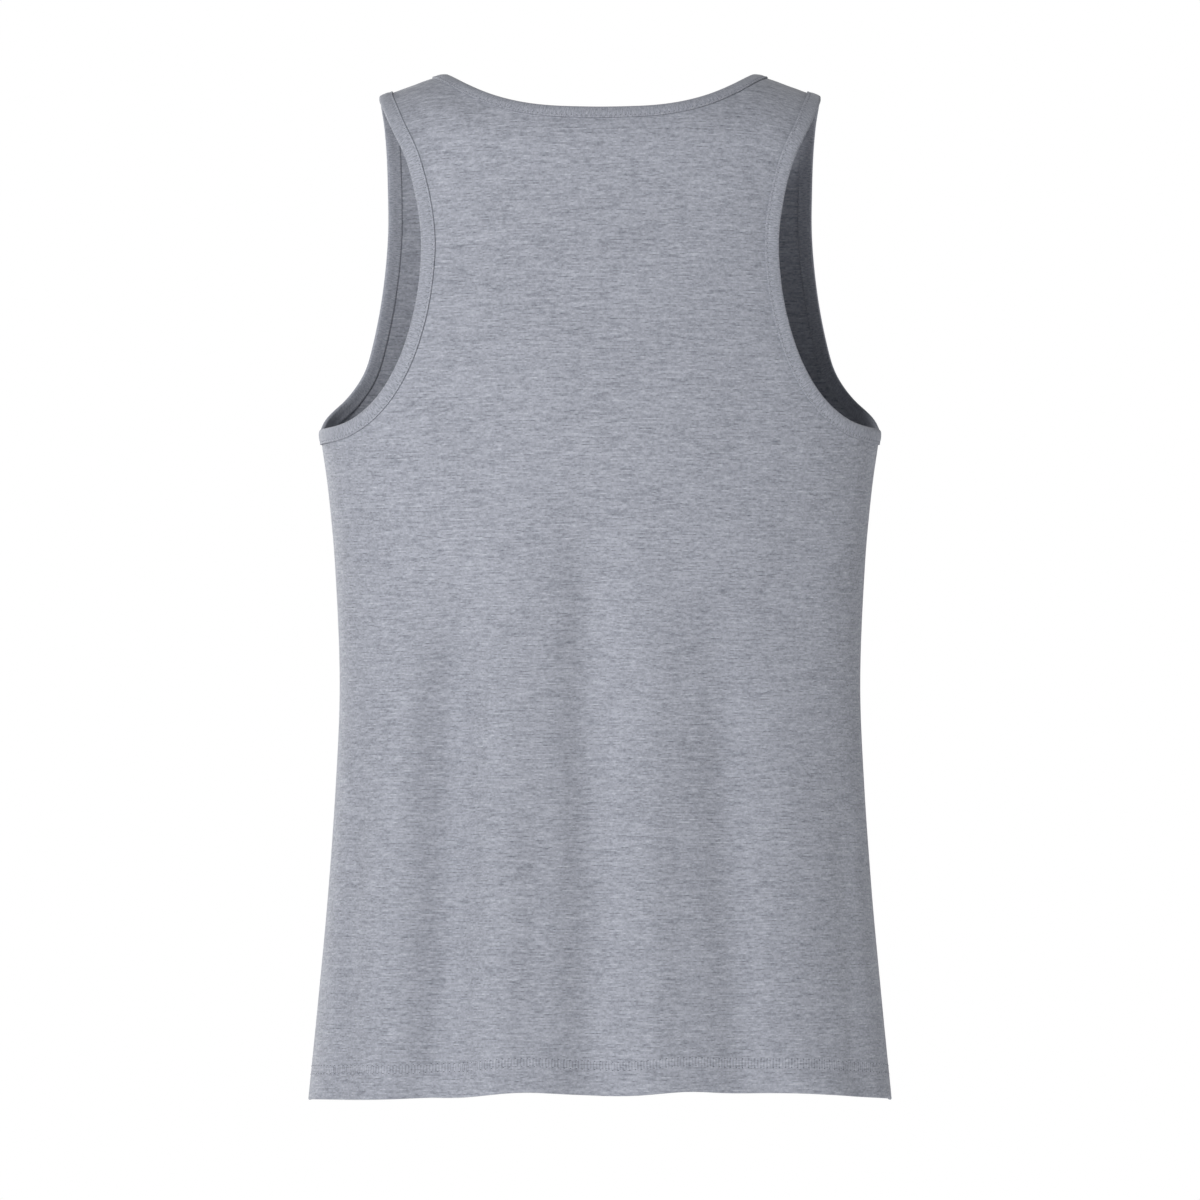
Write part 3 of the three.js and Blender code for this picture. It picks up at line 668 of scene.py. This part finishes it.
DARK_FIBRES = (0.075, 0.082, 0.103)
LIGHT_FIBRES = (0.425, 0.440, 0.492)
JERSEY = heather(
    "Heather jersey",
    marks=[(16, 0.11, 0.51, 1.7), (6, 0.13, 0.56, 5.1), (2.2, 0.12, 0.56, 9.3), (60, 40, 0.08, 2.2)],
    course=0.85, puckered=True,
)
BINDING_JERSEY = heather(
    "Binding jersey",
    marks=[(0.8, 3.2, 0.8, 4.4), (0.6, 1.2, 0.4, 6.9), (40, 12, 0.10, 1.1)],
)
print("materials:", JERSEY.name, "and", BINDING_JERSEY.name)

# %% [markdown]
# ## Thread and the painted shade in needle holes
#
# The thread is plain spun thread, a little smoother than the jersey, with faint uneven dye. The
# needle leaves a small hole between two stitches. From a step away the hole is only a dark point
# of shade, so the shade is painted: a small grain in its deep grey sits on the cloth at each hole.

# %% The sewing thread and the painted shade in a needle hole
def speckled(name, dark, light, scale, detail):
    """A material with fine specks, its node tree and the level of the specks."""
    made, tree = blank_material(name)
    place = add_node(tree, "ShaderNodeTexCoord").outputs["Object"]
    noise = add_node(tree, "ShaderNodeTexNoise", Vector=place, Scale=scale, Detail=detail)
    set_colour(tree, noise.outputs["Fac"], dark, light)
    return made, tree, noise.outputs["Fac"]


THREAD, thread_tree, thread_specks = speckled(
    "Grey thread", dark=(0.20, 0.21, 0.245), light=(0.36, 0.37, 0.42), scale=900.0, detail=1.0
)
set_bump(thread_tree, thread_specks, strength=0.2, distance=0.1 * MM)
set_surface(thread_tree, Roughness=0.7, Sheen_Weight=0.1)
# The needle-hole material is painted shade: a deep grey that stands for the shade inside each hole.
NEEDLE_HOLE_SHADE, hole_shade_tree, _ = speckled(
    "Shade in a needle hole", dark=(0.05, 0.055, 0.07), light=(0.13, 0.14, 0.17), scale=700.0, detail=2.0
)
set_surface(hole_shade_tree, Roughness=1.0)
print("materials:", THREAD.name, "and", NEEDLE_HOLE_SHADE.name)

# %% [markdown]
# ## The two panels
#
# Each panel is cut flat from jersey and sewn into the round. Here it is its half of the smooth
# cloth, unwrapped so that its map is the flat pattern in metres. At the hem the cloth goes on
# round a small fold and up inside, because a hem is a turned edge and not a thick one. Last, a
# Solidify modifier gives the sheet the thickness of jersey, inwards, so that its outside stays
# on the solid.

# %% Cut a panel from the smooth cloth
SEAM_GAP = 0.3 * MM  # between the two panels, so that the seam shows as a fine line
CENTRE_STRIP = 12 * MM  # points this near the middle show which way the pattern's centre line runs
TOP_REACH = 0.05
FOOT_HEIGHT = -0.62


def cut_panel(name, cloth_number):
    """Half of the smooth cloth, with its map unwrapped flat."""
    mesh = cloth.copy()
    panel = bpy.data.objects.new(name, mesh)
    bpy.context.scene.collection.objects.link(panel)
    work = bmesh.new()
    work.from_mesh(mesh)
    work.verts.ensure_lookup_table()
    open_edges = {number for ring in EDGE_RINGS.values() for number in ring}
    seam = [work.verts[number] for number in shared_points(cloth) if number not in open_edges]
    bmesh.ops.delete(
        work, geom=[f for f in work.faces if f.material_index != cloth_number], context="FACES"
    )
    inward = []
    for vert in seam:
        centres = [face.calc_center_median() for face in vert.link_faces]
        inward.append(sum(centres, Vector()) / len(centres) - vert.co)
    for vert, way in zip(seam, inward):
        vert.co += way.normalized() * SEAM_GAP / 2
    for face in work.faces:
        face.material_index = 0
    work.to_mesh(mesh)
    work.free()
    mesh.materials.clear()
    mesh.materials.append(JERSEY)
    mesh.uv_layers.new(name="Pattern")
    pick(panel)
    bpy.ops.object.mode_set(mode="EDIT")
    bpy.ops.mesh.select_all(action="SELECT")
    bpy.ops.uv.unwrap(method="ANGLE_BASED", margin=0)
    bpy.ops.object.mode_set(mode="OBJECT")
    return panel


def lay_pattern_flat(panel):
    """Scale the map to metres, stand the centre line upright, and return the flat size."""
    mesh = panel.data
    flat = np.empty(len(mesh.loops) * 2, dtype=np.float32)
    mesh.uv_layers["Pattern"].data.foreach_get("uv", flat)
    flat = flat.reshape(-1, 2).astype(float)
    numbers = np.empty(len(mesh.loops), dtype=np.int32)
    mesh.loops.foreach_get("vertex_index", numbers)
    corners = points_of(mesh)[numbers]
    flat_area = surface_area = 0.0
    for face in mesh.polygons:
        ring = flat[list(face.loop_indices)]
        nxt = np.roll(ring, -1, axis=0)
        flat_area += 0.5 * abs((ring[:, 0] * nxt[:, 1] - ring[:, 1] * nxt[:, 0]).sum())
        surface_area += face.area
    flat *= math.sqrt(surface_area / flat_area)
    centre = np.abs(corners[:, 0]) < CENTRE_STRIP
    top = flat[centre & (corners[:, 2] > corners[centre, 2].max() - TOP_REACH)].mean(axis=0)
    foot = flat[centre & (corners[:, 2] < FOOT_HEIGHT)].mean(axis=0)
    up = (top - foot) / np.linalg.norm(top - foot)
    flat = (flat - foot) @ np.array([[up[1], up[0]], [-up[0], up[1]]])
    mesh.uv_layers["Pattern"].data.foreach_set("uv", flat.astype(np.float32).ravel())
    size = flat.max(axis=0) - flat.min(axis=0)
    print(panel.name, "flat:", [round(float(s), 3) for s in size], "area:", round(surface_area, 4))
    return size, surface_area


# %% Turn up the hem
HEM_TURN = 21.5 * MM
HEM_FOLD = 0.85 * MM  # radius of the fold
HEM_FOLD_ROWS = 4
HEM_ROWS = 7


def hem_route():
    """Steps round the fold and up inside: how far down, how far in, and the length of the step."""
    step = math.pi / HEM_FOLD_ROWS
    for angle in ((row + 1) * step for row in range(HEM_FOLD_ROWS)):
        yield HEM_FOLD * math.sin(angle), HEM_FOLD * (1 - math.cos(angle)), HEM_FOLD * step
    for row in range(HEM_ROWS):
        yield -(row + 1) * HEM_TURN / HEM_ROWS, 2 * HEM_FOLD, HEM_TURN / HEM_ROWS


def turn_up_hem(panel):
    """Carry the cloth on round the hem's fold and up inside."""
    work = bmesh.new()
    work.from_mesh(panel.data)
    pattern = work.loops.layers.uv["Pattern"]
    ring = cloth_points[EDGE_RINGS["hem"]]
    low = {tuple(np.round(p, 5)) for p in ring}
    edges = [
        e for e in work.edges
        if e.is_boundary and all(tuple(round(c, 5) for c in v.co) in low for v in e.verts)
    ]
    start = {}
    for edge in edges:
        for vert in edge.verts:
            loop = next(l for l in vert.link_loops if l.face in edge.link_faces)
            start[vert] = (vert.co.copy(), vert.normal.copy(), loop[pattern].uv.copy())
    line = {vert: vert for vert in start}
    walked = 0.0
    for down, inward, walk in hem_route():
        made = bmesh.ops.extrude_edge_only(work, edges=edges)["geom"]
        edges = [g for g in made if isinstance(g, bmesh.types.BMEdge)]
        verts = [g for g in made if isinstance(g, bmesh.types.BMVert)]
        walked += walk
        fresh = {}
        for vert in verts:
            source = next(
                (e.other_vert(vert) for e in vert.link_edges if e.other_vert(vert) in line), None
            )
            first = line[source]
            place, out, flat = start[first]
            if down >= 0:
                vert.co = place - Vector((0, 0, down)) - out * inward
            else:
                hit, normal, _, _ = cloth_tree.find_nearest(place + Vector((0, 0, -down)))
                vert.co = hit - (normal if normal.dot(out) > 0 else -normal) * inward
            fresh[vert] = first
        for vert in verts:
            for loop in vert.link_loops:
                loop[pattern].uv = start[fresh[vert]][2] - Vector((0, walked))
        for vert in line:
            for loop in vert.link_loops:
                if any(v in fresh for v in loop.face.verts):
                    first = line[vert]
                    loop[pattern].uv = start[first][2] - Vector((0, walked - walk))
        line = fresh
    work.to_mesh(panel.data)
    work.free()


# %% Give the sheet its thickness
JERSEY_THICKNESS = 0.75 * MM
PANEL_CREASE = math.radians(60)  # edges that turn more than this are kept crisp


def thicken(panel):
    """Give the cloth its wall, with its cut edges kept crisp."""
    pick(panel)
    bpy.ops.object.mode_set(mode="EDIT")
    bpy.ops.mesh.select_mode(type="EDGE")
    bpy.ops.mesh.select_all(action="DESELECT")
    bpy.ops.mesh.select_non_manifold(
        use_wire=False, use_multi_face=False, use_non_contiguous=False, use_verts=False
    )
    bpy.ops.mesh.mark_sharp()
    bpy.ops.object.mode_set(mode="OBJECT")
    wall = panel.modifiers.new("Thickness", "SOLIDIFY")
    wall.thickness = JERSEY_THICKNESS
    wall.offset = -1
    bpy.ops.object.modifier_apply(modifier=wall.name)
    bpy.ops.object.shade_smooth_by_angle(angle=PANEL_CREASE)
    print(panel.name, "faces:", len(panel.data.polygons))


# %% Note each point's height above the hem
NOTED_REACH = 0.06  # points higher than this over the hem only need a large number
FAR_ABOVE = 0.1


def note_height(panel):
    """A number on each point, its distance from the hem's edge, which the material reads."""
    places = points_of(panel.data)
    edge = cloth_points[EDGE_RINGS["hem"]]
    heights = np.full(len(places), FAR_ABOVE)
    for k in np.flatnonzero(places[:, 2] < edge[:, 2].max() + NOTED_REACH):
        heights[k] = np.linalg.norm(edge - places[k], axis=1).min()
    note = panel.data.attributes.new("above_hem", "FLOAT", "POINT")
    note.data.foreach_set("value", heights.astype(np.float32))


# %% Make the back and the front
for name, node, cloth_number in (("BackPanel", "back_panel", 0), ("FrontPanel", "front_panel", 1)):
    panel = cut_panel(name, cloth_number)
    size, area = lay_pattern_flat(panel)
    turn_up_hem(panel)
    thicken(panel)
    note_height(panel)
    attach(panel, "root")
    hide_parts(node)

# %% [markdown]
# ## The bindings
#
# Each armhole and the neck is finished with a strip of the same jersey, folded over the raw edge
# so that it shows as an even band on both sides. Its section is a flattened U. It is drawn once,
# as corners a distance in from the finished edge and a height out of the cloth, and swept along
# the edge. The section dips where the stitches pull it down, and the height varies a little along
# the way, as a sewn band does.

# %% Sweep a section along a line
RAW_EDGE = 1.3 * MM  # the panel's raw edge lies this far inside the finished edge
STRIP_DEPTHS = [0, 1.4 * MM, 4.1 * MM, 6.8 * MM, 8.4 * MM]
STRIP_CREASE = math.radians(50)


def swept(line, section, raw=RAW_EDGE, depths=STRIP_DEPTHS):
    """Points of a section, carried along a line: an array of steps, corners and coordinates."""
    levels = [stepped_in(line, depth) for depth in depths]
    corners = []
    for into, out in section:
        deep = into * MM - raw
        if deep <= 0:
            base, normal = line["points"] + line["into"] * deep, line["out"]
        else:
            k = min(int(np.searchsorted(depths, deep)), len(depths) - 1)
            share = (deep - depths[k - 1]) / (depths[k] - depths[k - 1])
            base = levels[k - 1][0] * (1 - share) + levels[k][0] * share
            normal = unit(levels[k - 1][1] * (1 - share) + levels[k][1] * share)
        corners.append(base + normal * np.asarray(out).reshape(-1, 1) * MM)
    return np.stack(corners, axis=1)


def swept_piece(name, points, line, material):
    """A closed mesh from swept points, its map in metres along and round the section."""
    steps, corners = points.shape[:2]
    closed = line["closed"]
    rows = steps if closed else steps - 1
    faces, flat = [], []
    round_section = np.linalg.norm(np.diff(points[0], axis=0, append=points[0][:1]), axis=1)
    v = np.concatenate([[0], np.cumsum(round_section)])
    u = np.append(line["walk"], line["length"])
    for i in range(rows):
        for j in range(corners):
            i2, j2 = (i + 1) % steps, (j + 1) % corners
            faces.append((i * corners + j, i2 * corners + j, i2 * corners + j2, i * corners + j2))
            flat += [(u[i], v[j]), (u[i + 1], v[j]), (u[i + 1], v[j + 1]), (u[i], v[j + 1])]
    if not closed:
        for i in (0, steps - 1):
            faces.append(tuple(i * corners + j for j in range(corners)))
            flat += [(u[i], v[j]) for j in range(corners)]
    mesh = bpy.data.meshes.new(name)
    mesh.from_pydata(points.reshape(-1, 3).tolist(), [], faces)
    pattern = mesh.uv_layers.new(name="Pattern")
    pattern.data.foreach_set("uv", np.array(flat, dtype=np.float32).ravel())
    mesh.materials.append(material)
    piece = bpy.data.objects.new(name, mesh)
    bpy.context.scene.collection.objects.link(piece)
    pick(piece)
    bpy.ops.object.mode_set(mode="EDIT")
    bpy.ops.mesh.select_all(action="SELECT")
    bpy.ops.mesh.normals_make_consistent(inside=False)
    bpy.ops.object.mode_set(mode="OBJECT")
    bpy.ops.object.shade_smooth_by_angle(angle=STRIP_CREASE)
    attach(piece, "root")
    return piece


# %% The section of a folded strip
STITCH_PLACE = 7.9  # millimetres in from the finished edge
BAND_SECTION = [
    (9.45, 0.05), (9.64, 0.45), (9.5, 0.95), (9.05, 1.14), (8.45, 1.04), (7.9, 0.84),
    (7.4, 1.02), (6.4, 1.24), (4.6, 1.32), (2.4, 1.26), (1.0, 1.02), (0.25, 0.5),
    (0.0, -0.1), (0.0, -0.8), (0.25, -1.36), (1.0, -1.7), (4.6, -1.8), (7.9, -1.45),
    (9.0, -1.6), (9.5, -1.35), (9.4, -0.9), (2.2, -0.84), (1.25, -0.4), (2.2, 0.03),
]
BAND_UNEVEN = 0.12
PUFF_MIDDLE, PUFF_WIDTH = 5.5, 2.2  # the band swells most here, in from its edge
OUTSIDE_LIMITS, INSIDE_LIMITS = (0.02, 1.7), (-2.2, -0.05)


def uneven(line, size, seed):
    """A small change of height along a line, the sum of a few waves that close on themselves."""
    waves = np.random.default_rng(seed)
    turn = 2 * math.pi * line["walk"] / line["length"]
    total = np.zeros(len(turn))
    for wavelength in (5.5, 8.0, 13.0, 31.0):
        count = max(1, round(line["length"] / MM / wavelength))
        total += waves.uniform(0.5, 1.0) * np.sin(count * turn + waves.uniform(0, 6.3))
    return size * total / 2


def binding(name, node, line, seed):
    """A folded strip, pulled down by its stitches and slightly uneven."""
    wave = uneven(line, BAND_UNEVEN, seed)
    section = []
    for into, out in BAND_SECTION:
        puff = math.exp(-(((into - PUFF_MIDDLE) / PUFF_WIDTH) ** 2)) * (1 if out > 0 else -1)
        limits = OUTSIDE_LIMITS if out > 0 else INSIDE_LIMITS
        section.append((into, np.clip(out + puff * wave, *limits)))
    piece = swept_piece(name, swept(line, section), line, BINDING_JERSEY)
    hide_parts(node)
    print(name, "faces:", len(piece.data.polygons))
    return piece


BINDINGS = {
    line: binding(name, node, LINES[line], seed)
    for line, name, node, seed in (
        ("neck", "NeckBinding", "neck_binding", 3),
        ("armhole_left", "ArmholeBindingLeft", "armhole_binding_left", 5),
        ("armhole_right", "ArmholeBindingRight", "armhole_binding_right", 8),
    )
}

# %% [markdown]
# ## Stitches
#
# One stitch is modelled once: a short round-ended length of thread that dips into the cloth at
# both ends. It could be repeated with an Array modifier along a curve, but each row here must
# follow the cloth's own surface, so the copies are placed from the lines and joined in one mesh
# for each row.

# %% Model one stitch
bpy.ops.object.select_all(action="DESELECT")
bpy.ops.mesh.primitive_uv_sphere_add(segments=6, ring_count=5, radius=1, location=(0, 0, 0))
one_stitch = bpy.context.object
bpy.ops.object.mode_set(mode="EDIT")
bpy.ops.mesh.select_all(action="SELECT")
bpy.ops.transform.rotate(value=math.pi / 2, orient_axis="Y", center_override=(0, 0, 0))
bpy.ops.object.mode_set(mode="OBJECT")
STITCH_POINTS = points_of(one_stitch.data)
STITCH_FACES = [tuple(face.vertices) for face in one_stitch.data.polygons]
STITCH_POINTS[:, 0] = np.sign(STITCH_POINTS[:, 0]) * np.abs(STITCH_POINTS[:, 0]) ** 0.7
bpy.data.objects.remove(one_stitch)
print("one stitch has", len(STITCH_FACES), "faces")


# %% Sew a row of stitches along a line
STITCH_RISE = 0.45  # a stitch's half height, as a share of its width
STITCH_DIP = 0.12  # how far its ends dip into the cloth, in millimetres


def along_walk(walk, wanted, values):
    """Values at the wanted distances along a walked line."""
    return np.stack([np.interp(wanted, walk, values[:, k]) for k in range(3)], axis=1)


def sew(name, rows, pitch, length, width, across=False, start=0.5, material=THREAD):
    """Joined stitches; rows are (line, depth into the cloth, height above it), in millimetres."""
    placed = []
    for line, depth, height in rows:
        base, out = stepped_in(line, depth * MM)
        base = base + out * height * MM
        if line["closed"]:
            base, out = (np.concatenate([a, a[:1]]) for a in (base, out))
        walk = np.concatenate([[0], np.cumsum(np.linalg.norm(np.diff(base, axis=0), axis=1))])
        count = int(walk[-1] / (pitch * MM))
        wanted = (np.arange(count) + start) * walk[-1] / count
        spot, way = along_walk(walk, wanted, base), along_walk(walk, wanted, out)
        before, after = (along_walk(walk, wanted + step, base) for step in (-0.5 * MM, 0.5 * MM))
        ahead = unit(after - before)
        way = unit(way - ahead * (way * ahead).sum(axis=1, keepdims=True))
        side = np.cross(way, ahead)
        long_way, short_way = (side, ahead) if across else (ahead, side)
        x, y, z = (STITCH_POINTS[None, :, k : k + 1] for k in range(3))
        placed.append(
            spot[:, None, :]
            + x * 0.5 * length * MM * long_way[:, None, :]
            + y * 0.5 * width * MM * short_way[:, None, :]
            + (z * STITCH_RISE * width - STITCH_DIP * x**2) * MM * way[:, None, :]
        )
    points = np.concatenate(placed)
    count, corners = points.shape[:2]
    faces = [tuple(k * corners + c for c in face) for k in range(count) for face in STITCH_FACES]
    mesh = bpy.data.meshes.new(name)
    mesh.from_pydata(points.reshape(-1, 3).tolist(), [], faces)
    mesh.materials.append(material)
    piece = bpy.data.objects.new(name, mesh)
    bpy.context.scene.collection.objects.link(piece)
    pick(piece)
    bpy.ops.object.mode_set(mode="EDIT")
    bpy.ops.mesh.select_all(action="SELECT")
    bpy.ops.mesh.normals_make_consistent(inside=False)
    bpy.ops.object.mode_set(mode="OBJECT")
    bpy.ops.object.shade_smooth()
    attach(piece, "root")
    print(name, "stitches:", count)
    return piece


# %% The rows on the hem and the bindings
IN_BAND = STITCH_PLACE - RAW_EDGE / MM
HEM_PITCH = 3.9
BAND_PITCH = 3.1
# Grains of painted shade, in the deep grey of the needle-hole material, sit where the needle holes are.
HOLE_SHADE = {"length": 0.8, "start": 0.0, "material": NEEDLE_HOLE_SHADE}
hem = LINES["hem"]
hem_rows = [(hem, up, 0.06) for up in HEM_ROWS_UP]
hole_shade_rows = [(hem, up, 0.0) for up in HEM_ROWS_UP]
looper_row = [(hem, sum(HEM_ROWS_UP) / 2, -1.78)]
SEWING = {
    "hem": sew("HemStitches", hem_rows, HEM_PITCH, length=2.6, width=0.5),
    "hem_hole_shade": sew("HemNeedleHoles", hole_shade_rows, HEM_PITCH, width=0.62, **HOLE_SHADE),
    "hem_inside": sew("HemLooperStitches", looper_row, 2.4, length=5.4, width=0.36, across=True),
}
for name in BINDINGS:
    label = name.title().replace("_", "")
    row, hole_shade = ([(LINES[name], IN_BAND, height)] for height in (0.90, 0.84))
    SEWING[name] = sew(label + "Stitches", row, BAND_PITCH, length=2.1, width=0.46)
    SEWING[name + "_hole_shade"] = sew(label + "NeedleHoles", hole_shade, BAND_PITCH, width=0.6, **HOLE_SHADE)

# %% [markdown]
# ## The seams inside
#
# A side seam joins the two panels with their cut edges together inside, sewn over with thread
# and pressed to the back. The shoulder seams are made the same way. Each is a flat strip of two
# thicknesses of jersey swept along the seam's line on the inside of the cloth, with stitches
# across it. It also closes the joint against the light.

# %% Find the seams on the smooth cloth
BELOW_SHOULDERS = -0.15


def seam_points():
    """Points of the cloth that both panels share, in order down each seam."""
    seams = {}
    for name, hand, side in (
        ("side_left", 1, True), ("side_right", -1, True),
        ("shoulder_left", 1, False), ("shoulder_right", -1, False),
    ):
        found = [
            n for n in shared_points(cloth)
            if cloth_points[n][0] * hand > 0 and (cloth_points[n][2] < BELOW_SHOULDERS) == side
        ]
        key = (lambda n: -cloth_points[n][2]) if side else (lambda n: hand * cloth_points[n][0])
        seams[name] = sorted(found, key=key)
    return seams


SEAM_SECTION = [
    (-0.2, -0.85), (5.4, -0.85), (5.9, -1.1), (6.0, -1.6),
    (5.8, -2.1), (5.2, -2.3), (0.6, -2.2), (-0.1, -1.9),
]
SEAMS = {}
for name, numbers in seam_points().items():
    line = cloth_line(numbers, 2.4 * MM, closed=False, toward=(0, 1, 0))
    label = name.title().replace("_", "") + "Seam"
    points = swept(line, SEAM_SECTION, raw=0, depths=[0, 2 * MM, 4 * MM, 6 * MM])
    SEAMS[name] = swept_piece(label, points, line, JERSEY)
    row = [(line, 3.2, -2.36)]
    SEWING[name] = sew(label + "Stitches", row, 2.3, length=5.6, width=0.34, across=True)
    print(label, "length:", round(line["length"] / MM), "mm")

# %% [markdown]
# ## The sheets of cloth
#
# Each panel and each strip of binding is declared with the size it was cut to, so that the part
# can be cut and sewn again from its record.

# %% Remove the cage and gather what lies on the panels
bpy.data.objects.remove(cage)
on_panels = [SEWING[name] for name in ("hem", "hem_hole_shade", "hem_inside")]
on_panels += [SEAMS[name] for name in SEAMS] + [SEWING[name] for name in SEAMS]
